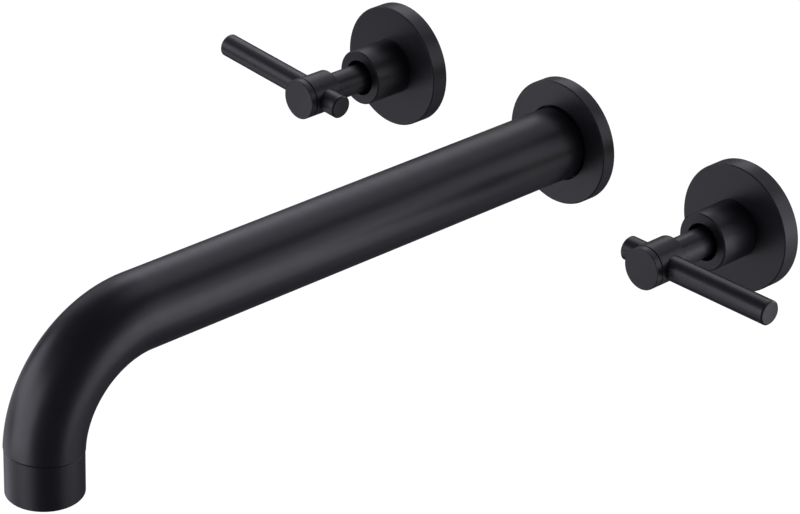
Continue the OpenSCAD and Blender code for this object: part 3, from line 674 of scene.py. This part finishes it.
def outlet_ring():
    """The spout's end: a turned ring, mitred to meet the tube along a fine seam."""
    r, thread_r, washer_r = outlet_d / 2, outlet_thread_d / 2, washer_bore / 2
    spigot_r = (spout_d - 2 * spout_wall - outlet_spigot_play) / 2
    water_r = spigot_r - outlet_spigot_wall
    washer_top = outlet_thread_top - washer_room
    profile = outline(
        [
            (water_r, -outlet_spigot_len, 0.2),
            (spigot_r, -outlet_spigot_len, 0.3),
            (spigot_r, 0),
            (r - seam_edge, 0),
            (r, seam_edge),
            (r, outlet_len, outlet_round),
            (thread_r, outlet_len, 0.3),
            (thread_r, outlet_thread_top),
            (washer_r, outlet_thread_top),
            (washer_r, washer_top),
            (water_r, washer_top),
        ],
        6,
    )
    bm = lathe(profile, TUBE_FACETS)
    slope = math.tan(math.radians(90 - bend_deg))
    for v in bm.verts:
        if abs(v.co.z) < 2 * seam_edge:
            v.co.z += v.co.y * slope
    return bm


def aerator_housing():
    """Threaded aerator shell: a recessed face with a rolled lip and four driver notches."""
    r, bore_r = aerator_r, aerator_bore / 2
    lip_r, lip_back = bore_r - aerator_lip, aerator_face - aerator_lip
    thread_from = aerator_top + aerator_thread_start
    thread_to = aerator_face - aerator_thread_end
    corners = [(bore_r, aerator_top, 0.1), (r, aerator_top, 0.3)]
    corners += stretch(r, thread_from, thread_to, aerator_thread_step)
    corners += [(r, aerator_face, 0.35), (lip_r, aerator_face, 0.3)]
    corners += [(lip_r, lip_back), (bore_r, lip_back)]
    thread = screw_thread(thread_from, thread_to, aerator_pitch, aerator_thread, r)
    bm = lathe(outline(corners), TUBE_FACETS, thread)
    half, past = notch_w / 2, r + 3
    for turn in (0, 90):
        z0, z1 = aerator_face - notch_depth, aerator_face + notch_depth
        notch = block(-past, past, -half, half, z0, z1)
        notch.transform(Matrix.Rotation(math.radians(turn), 4, "Z"))
        bm = combine(bm, notch, "DIFFERENCE")
    return bm


def build_spout():
    """Spout, its end ring, the aerator's shell and the spout's wall plate."""
    plate = wall_plate("spout_plate", spout_plate_bore)
    place_black("spout", spout_tube(), OUT_OF_WALL, "spout_tube")
    place_black("spout_end_ring", outlet_ring(), AT_OUTLET, "outlet_ring")
    place_black("aerator_shell", aerator_housing(), AT_OUTLET, "aerator_housing")
    place_black("spout_wall_plate", plate, OUT_OF_WALL, "spout_plate")


# ------------------------------------------------------------------ plates and collars


def wall_plate(node, hole_d):
    """Round cover plate, hollow behind, with a fine turned chamfer round its front."""
    r, t, c, hole_r = width(node) / 2, depth_range(node)[1], plate_chamfer, hole_d / 2
    profile = outline(
        [
            (hole_r, t, edge),
            (r - c, t, 0.15),
            (r, t - c, 0.15),
            (r, 0, 0.15),
            (r - plate_rim, 0, 0.15),
            (r - plate_rim, t - plate_face_t, 0.5),
            (hole_r, t - plate_face_t, edge),
        ],
        4,
    )
    return lathe(profile, PLATE_FACETS)


def collar():
    """Threaded collar with the handle's open mouth in its front."""
    back, front = depth_range("hot_collar")
    plate_t = depth_range("hot_wall_plate")[1]
    r, mouth_z = width("hot_collar") / 2, front - mouth_depth
    bore_r, back_chamfer, front_chamfer = sleeve_d / 2 + fixed_gap, 0.3, 0.5
    corners = [
        (spigot_d / 2, back, 0.2),
        (spigot_d / 2, plate_t),
        (r - back_chamfer, plate_t),
        (r, plate_t + back_chamfer, 0.1),
        (r, front - front_chamfer, 0.15),
        (r - front_chamfer, front, 0.15),
        (mouth_d / 2, front, 0.25),
        (mouth_d / 2, mouth_z),
        (bore_r, mouth_z),
        (bore_r, back, 0.2),
    ]
    return lathe(outline(corners, 4), HUB_FACETS)


# ------------------------------------------------------------------ handles


def handle_hub():
    """Hub and neck in one piece, with the lever's cross hole and the set screw's hole."""
    back, front = depth_range("hot_handle_hub")
    r, adapter_r = width("hot_hub_cap") / 2, adapter_d / 2 + fixed_gap
    cap_r, cap_floor = cap_spigot_d / 2 + fixed_gap, front - cap_bore_depth
    adapter_end = hub_back - adapter_bore_short
    profile = outline(
        [
            (adapter_r, back, 0.15),
            (neck_d / 2, back, 0.35),
            (neck_d / 2, hub_back, 0.25),
            (r, hub_back, 0.4),
            (r, front, 0.2),
            (cap_r, front, 0.1),
            (cap_r, cap_floor),
            (0, cap_floor),
            (0, adapter_end),
            (adapter_r, adapter_end),
        ],
        5,
    )
    cross_hole = rod_x(lever_d + 2 * fixed_gap, -2 * r, 2 * r, lever_z, TUBE_FACETS)
    screw_hole = rod_down(set_screw_d + 2 * fixed_gap, 0, neck_d, set_screw_z, SMALL_FACETS)
    return machined(lathe(profile, HUB_FACETS), [cross_hole, screw_hole])


def hub_cap():
    """Cap on the hub's front, standing on a narrower step that leaves the fine dark line."""
    back, front = depth_range("hot_hub_cap")
    r = width("hot_hub_cap") / 2
    hub_end = depth_range("hot_handle_hub")[1]
    line_z = hub_end + cap_line
    profile = outline(
        [
            (0, back),
            (cap_spigot_d / 2, back, 0.2),
            (cap_spigot_d / 2, hub_end),
            (r - cap_line_depth, hub_end),
            (r - cap_line_depth, line_z),
            (r, line_z, 0.2),
            (r, front, 0.4),
            (0, front),
        ],
        5,
    )
    return lathe(profile, HUB_FACETS)


def lever():
    """Round lever bar with turned chamfers on both ends."""
    c, r = lever_chamfer, lever_d / 2
    profile = outline(
        [
            (0, -lever_stub),
            (r - c, -lever_stub, 0.15),
            (r, c - lever_stub, 0.2),
            (r, lever_long - c, 0.2),
            (r - c, lever_long, 0.15),
            (0, lever_long),
        ],
        4,
    )
    outward = Matrix.Rotation(-math.pi / 2, 4, "Y")
    return turned(lathe(profile, TUBE_FACETS), at_depth(lever_z) @ outward)


def set_screw():
    """Cup point socket set screw along -Y, threaded, with a hexagonal socket in its outer end."""
    r, length = set_screw_d / 2, neck_d / 2 - set_screw_sunk - set_screw_tip
    cup, taper, shoulder, step = 0.5, 0.3, 0.25, 0.1
    corners = [(0, cup), (r - 2 * cup, 0), (r - cup, 0)]
    corners += stretch(r, cup, length - taper, step) + [(r - shoulder, length), (0, length)]
    thread = screw_thread(0.4, length - 0.2, set_screw_pitch, set_screw_thread, r)
    socket = hex_prism(socket_flats, length - socket_depth, length + extra_stock)
    bm = combine(lathe(outline(corners), SMALL_FACETS, thread), socket, "DIFFERENCE")
    return turned(bm, Matrix.Translation((0, -set_screw_tip, set_screw_z)) @ DOWN)


def build_handle(side):
    """One handle and its wall plate and collar."""
    body, tilted, level = side + "_handle", tilted_frame(side), handle_frame(side)
    plate = wall_plate("hot_wall_plate", spigot_d + 2 * fixed_gap)
    place_black(side + "_wall_cover", plate, level, side + "_wall_plate")
    place_black(side + "_neck_collar", collar(), level, side + "_collar")
    place_black(side + "_hub", handle_hub(), tilted, side + "_handle_hub", body)
    place_black(side + "_cap", hub_cap(), level, side + "_hub_cap", body)
    place_black(side + "_lever_bar", lever(), tilted, side + "_lever", body)
    screw = side + "_hub_grub_screw"
    place(screw, set_screw(), tilted, body, STEEL, side + "_set_screw")


# ------------------------------------------------------------------ valve set behind the wall


def cast(parts):
    """Casting skin: the parts run into each other with soft fillets and rounded edges."""
    whole = bmesh.new()
    for part in parts:
        mesh = bpy.data.meshes.new("part")
        part.to_mesh(mesh)
        part.free()
        whole.from_mesh(mesh)
        bpy.data.meshes.remove(mesh)
    obj = temp_object(whole)
    remesh = obj.modifiers.new("skin", "REMESH")
    remesh.mode, remesh.voxel_size = "VOXEL", cast_voxel
    smooth = obj.modifiers.new("fillets", "SMOOTH")
    smooth.factor, smooth.iterations = 0.5, fillet_passes
    return applied(obj)


def stepped_bore(steps):
    """Round cutter along Z through (diameter, start, end) steps that follow one another."""
    corners = [(0, steps[0][1])]
    for d, z0, z1 in steps:
        corners += [(d / 2, z0), (d / 2, z1)]
    return lathe(outline(corners + [(0, steps[-1][2])]), HIDDEN_FACETS)


def threaded_mouth(d, depth, pitch, y0, y1, z):
    """Cutter for a threaded hole along -Y, from y0 to y1 below the axis."""
    r, end = d / 2 + depth, y1 + 0.5
    corners = [(0, y0), (d / 2, y0)] + stretch(r, y0 + 1, end, pitch / 6) + [(0, end)]
    thread = screw_thread(y0 + 0.9, y1, pitch, depth, r)
    return turned(lathe(outline(corners), HIDDEN_FACETS, thread), at_depth(z) @ DOWN)


def valve_body():
    """Cast body with ears, side outlet and threaded inlet, bored out and faced where it seals."""
    back, front = depth_range("hot_valve_body")
    r_ear, x_ear = ear_w / 2, ear_spacing / 2
    ear_places = [Matrix.Translation((x, ear_height, 0)) for x in (-x_ear, x_ear)]
    parts = [
        rod(valve_d, back, flange_top, rounding=1.0),
        rod_down(inlet_d, 0, inlet_len + extra_stock, inlet_z),
        rod_x(cross_boss_d, 0, cross_boss_len + extra_stock, water_z),
        block(-x_ear, x_ear, ear_height - r_ear, ear_height + r_ear, back, back + ear_t),
    ]
    parts += [turned(rod(ear_w, back, back + ear_t), at) for at in ear_places]
    below_inlet = block(-aside, aside, -aside, -inlet_len, behind, 0)
    past_outlet = block(cross_boss_len, aside, -aside, aside, behind, 0)
    body = machined(cast(parts), [below_inlet, past_outlet])
    boss = rod(valve_boss_d, flange_top - extra_stock, front, BOSS_FACETS, 0.4)
    body = combine(body, boss, "UNION")
    bore, socket = barrel_d + 2 * fixed_gap, cross_d + 2 * fixed_gap
    chamber = stepped_bore(
        [
            (seal_bore, inlet_z, seat_z),
            (bore, seat_z, water_z - gallery_half),
            (gallery_d, water_z - gallery_half, water_z + gallery_half),
            (bore, water_z + gallery_half, barrel_top),
            (bonnet_d + 2 * fixed_gap, barrel_top, front + extra_stock),
        ]
    )
    side_way = stepped_bore([(cross_passage_d, 0, socket_bottom), (socket, socket_bottom, aside)])
    thread_from = inlet_len - inlet_thread
    mouth = threaded_mouth(
        inlet_thread_d, inlet_ridge, inlet_pitch, thread_from, inlet_len, inlet_z
    )
    cutters = [
        chamber,
        turned(side_way, at_depth(water_z) @ ALONG_X),
        rod_down(passage_d, 0, thread_from + 1, inlet_z),
        mouth,
    ]
    for at in ear_places:
        hole = rod(ear_hole_d, back - extra_stock, back + ear_t + extra_stock, SMALL_FACETS)
        cutters.append(turned(hole, at))
    return machined(body, cutters)


def centre_tee():
    """Cast tee between the copper tubes, bored for them and for the spout's nipple."""
    boss_end, socket = cross_boss_len + extra_stock, cross_d + 2 * fixed_gap
    parts = [
        rod(tee_d, tee_back, tee_front + extra_stock, rounding=1.0),
        rod_x(cross_boss_d, -boss_end, boss_end, water_z),
    ]
    faces = [
        block(-aside, aside, -aside, aside, tee_front, 0),
        block(cross_boss_len, aside, -aside, aside, behind, 0),
        block(-aside, -cross_boss_len, -aside, aside, behind, 0),
    ]
    nipple_seat = stepped_bore(
        [(nipple_bore, water_z, nipple_z), (nipple_d + 2 * fixed_gap, nipple_z, 0)]
    )
    through = stepped_bore(
        [
            (socket, -aside, -socket_bottom),
            (passage_d, -socket_bottom, socket_bottom),
            (socket, socket_bottom, aside),
        ]
    )
    bores = [nipple_seat, turned(through, at_depth(water_z) @ ALONG_X)]
    return machined(cast(parts), faces + bores)


def cross_tube():
    """Copper tube with deburred ends, from the hot valve body to the tee."""
    r, end = cross_d / 2, half_spread - socket_bottom
    profile = outline(
        [
            (r - cross_wall, socket_bottom, 0.2),
            (r, socket_bottom, 0.3),
            (r, end, 0.3),
            (r - cross_wall, end, 0.2),
        ]
    )
    return turned(lathe(profile, BOSS_FACETS), at_depth(water_z) @ ALONG_X)


def extension_sleeve():
    """Sleeve that carries the collar: plain skirt at the back, fine thread towards the front."""
    back, front = depth_range("hot_extension_sleeve")
    skirt_r, r, bore_r = width("hot_extension_sleeve") / 2, sleeve_d / 2, mouth_d / 2
    inner_r, shoulder = skirt_r - skirt_wall, skirt_roof + skirt_wall
    corners = [(inner_r, back, 0.3), (skirt_r, back, 0.5), (skirt_r, shoulder, 0.8)]
    corners += [(r, shoulder, 0.3)] + stretch(r, shoulder + 3, front - 0.6, sleeve_pitch / 8)
    corners += [(r - sleeve_thread, front), (bore_r, front, 0.2), (bore_r, skirt_roof, 0.2)]
    corners += [(inner_r, skirt_roof)]
    thread = screw_thread(shoulder + 4, front - 0.7, sleeve_pitch, sleeve_thread, r)
    return lathe(outline(corners), HIDDEN_FACETS, thread)


def build_valve_set():
    """Valve bodies, sleeves, copper tubes and tee, all behind the wall plates."""
    pieces = (
        ("_valve_casting", valve_body(), "brass", CAST, "_valve_body"),
        ("_threaded_sleeve", extension_sleeve(), "brass", BRASS, "_extension_sleeve"),
        ("_supply_tube", cross_tube(), "copper", COPPER, "_cross_tube"),
    )
    for side in SIDES:
        for name, bm, slot, material, node in pieces:
            place(side + name, bm.copy(), handle_frame(side), BODY, material, side + node)
    place("tee_casting", centre_tee(), OUT_OF_WALL, BODY, CAST, "centre_tee")


# ------------------------------------------------------------------ stage, light and camera


def one_sided(name, grey, strength):
    """Stage material that glows from its front and vanishes from behind."""
    n = Nodes(name)
    glow = n.add("ShaderNodeEmission")
    glow.inputs["Color"].default_value = (grey, grey, grey, 1)
    glow.inputs["Strength"].default_value = strength
    facing = n.add("ShaderNodeNewGeometry").outputs["Backfacing"]
    mix, clear = n.add("ShaderNodeMixShader"), n.add("ShaderNodeBsdfTransparent")
    n.link(facing, mix.inputs[0])
    n.link(glow.outputs["Emission"], mix.inputs[1])
    n.link(clear.outputs["BSDF"], mix.inputs[2])
    n.link(mix.outputs["Shader"], n.tree.nodes["Material Output"].inputs["Surface"])
    return n.material


def backdrop(mesh, material):
    """Backdrop that only the camera sees, so that it doesn't light or shade the faucet."""
    mesh.materials.append(material)
    obj = bpy.data.objects.new(mesh.name, mesh)
    bpy.context.scene.collection.objects.link(obj)
    obj.visible_diffuse = obj.visible_glossy = obj.visible_shadow = False


def backdrop_plane(name, corners, material):
    """Flat backdrop through its corners."""
    mesh = bpy.data.meshes.new(name)
    mesh.from_pydata(corners, [], [range(len(corners))])
    backdrop(mesh, material)


def build_stage():
    """A white wall panel behind the plates, a pale floor far below, and a white room round them."""
    wall_y, floor_z, floor_half, room_r = 0.0006, -0.42, 9, 12
    left, right, top = -0.44, 0.24, 0.14
    white, pale, pale_glow = 1.05, 0.8, 0.9
    wall_corners = ((left, floor_z), (right, floor_z), (right, top), (left, top))
    backdrop_plane(
        "wall",
        [(x, wall_y, z) for x, z in wall_corners],
        one_sided("white_wall", 1, white),
    )
    floor_corners = ((-1, -1), (1, -1), (1, 1), (-1, 1))
    backdrop_plane(
        "floor",
        [(x * floor_half, y * floor_half, floor_z) for x, y in floor_corners],
        one_sided("pale_floor", pale, pale_glow),
    )
    room = bpy.data.meshes.new("room")
    bm = bmesh.new()
    bmesh.ops.create_icosphere(bm, subdivisions=4, radius=room_r)
    bmesh.ops.reverse_faces(bm, faces=bm.faces)
    bm.to_mesh(room)
    bm.free()
    backdrop(room, one_sided("white_room", 1, white))


# What the soft lights look at, in metres: the middle of the faucet, and the spout's end
MIDDLE, OUTLET = Vector((0, -0.13, -0.01)), Vector((0, -0.283, -0.055))

# Soft lights: azimuth from the front and elevation in degrees, distance and size in metres, watts
SOFTBOXES = (
    ("left_under", 300, -35, 1.6, 0.95, 1.7, MIDDLE),
    ("left_high", 303.75, 12, 1.6, 0.95, 5.0, MIDDLE),
    ("left_back", 255, 28, 0.7, 0.6, 0.46, MIDDLE),
    ("front", 345, 0, 0.7, 0.6, 2.3, MIDDLE),
    ("front_under", 0, -35, 1.6, 0.95, 1.7, MIDDLE),
    ("right_low", 112, -10, 0.7, 0.6, 1.45, MIDDLE),
    ("right_high", 124, 12, 0.7, 0.6, 0.95, MIDDLE),
    ("back", 168.75, 12, 1.6, 0.95, 5.0, MIDDLE),
    ("back_under", 150, -35, 1.6, 0.95, 0.5, MIDDLE),
    ("back_left", 225, 35, 1.6, 0.95, 3.7, MIDDLE),
    ("top_back", 180, 60, 1.6, 0.95, 2.4, MIDDLE),
    ("outlet_fill", 262, -22, 0.2, 0.2, 0.05, OUTLET),
)
COOL_LIGHT, COOL_ROOM, ROOM_STRENGTH = (0.97, 0.955, 1.07), (0.95, 0.93, 1.08), 0.1


def towards(azimuth, elevation):
    """Unit vector from the faucet to a place at that azimuth from the front and that elevation."""
    flat = math.cos(elevation)
    return Vector((math.sin(azimuth) * flat, -math.cos(azimuth) * flat, math.sin(elevation)))


def softbox(name, azimuth, elevation, distance, size, watts, aim):
    """Square soft light that looks at the aim from that direction."""
    back = towards(math.radians(azimuth), math.radians(elevation))
    data = bpy.data.lights.new(name, "AREA")
    data.shape, data.size, data.energy = "SQUARE", size, watts
    data.color = COOL_LIGHT
    obj = bpy.data.objects.new(name, data)
    bpy.context.scene.collection.objects.link(obj)
    obj.rotation_mode = "QUATERNION"
    obj.location = aim + back * distance
    obj.rotation_quaternion = back.to_track_quat("Z", "Y")
    obj.visible_camera = False


def build_light():
    """Soft lights all round, and a dim even glow between them."""
    world = bpy.data.worlds.new("dim_room")
    world.use_nodes = True
    background = world.node_tree.nodes["Background"]
    background.inputs["Color"].default_value = (*COOL_ROOM, 1)
    background.inputs["Strength"].default_value = ROOM_STRENGTH
    bpy.context.scene.world = world
    for row in SOFTBOXES:
        softbox(*row)
    bpy.context.scene.view_settings.view_transform = "Standard"


def build_camera():
    """Camera at the photographed viewing angle: from the right, above, with a long lens."""
    azimuth, elevation, roll = (math.radians(a) for a in (45.4175, 27.9049, 2.2772))
    distance, aim = 1.32842, Vector((0, -0.11, 0))
    shift_right, shift_up = 0.0080604, -0.0178224
    back = towards(azimuth, elevation)
    level = Vector((math.cos(azimuth), math.sin(azimuth), 0))
    lift = back.cross(level)
    right = math.cos(roll) * level + math.sin(roll) * lift
    up = -math.sin(roll) * level + math.cos(roll) * lift
    data = bpy.data.cameras.new("camera")
    data.sensor_width, data.lens = 36, 146.79
    camera = bpy.data.objects.new("camera", data)
    bpy.context.scene.collection.objects.link(camera)
    spot = aim + back * distance + right * shift_right + up * shift_up
    camera.matrix_world = Matrix.Translation(spot) @ Matrix((right, up, back)).transposed().to_4x4()
    bpy.context.scene.camera = camera


build_camera()
build_stage()
build_light()
dress_carried_nodes()
build_spout()
for side in SIDES:
    build_handle(side)
build_valve_set()
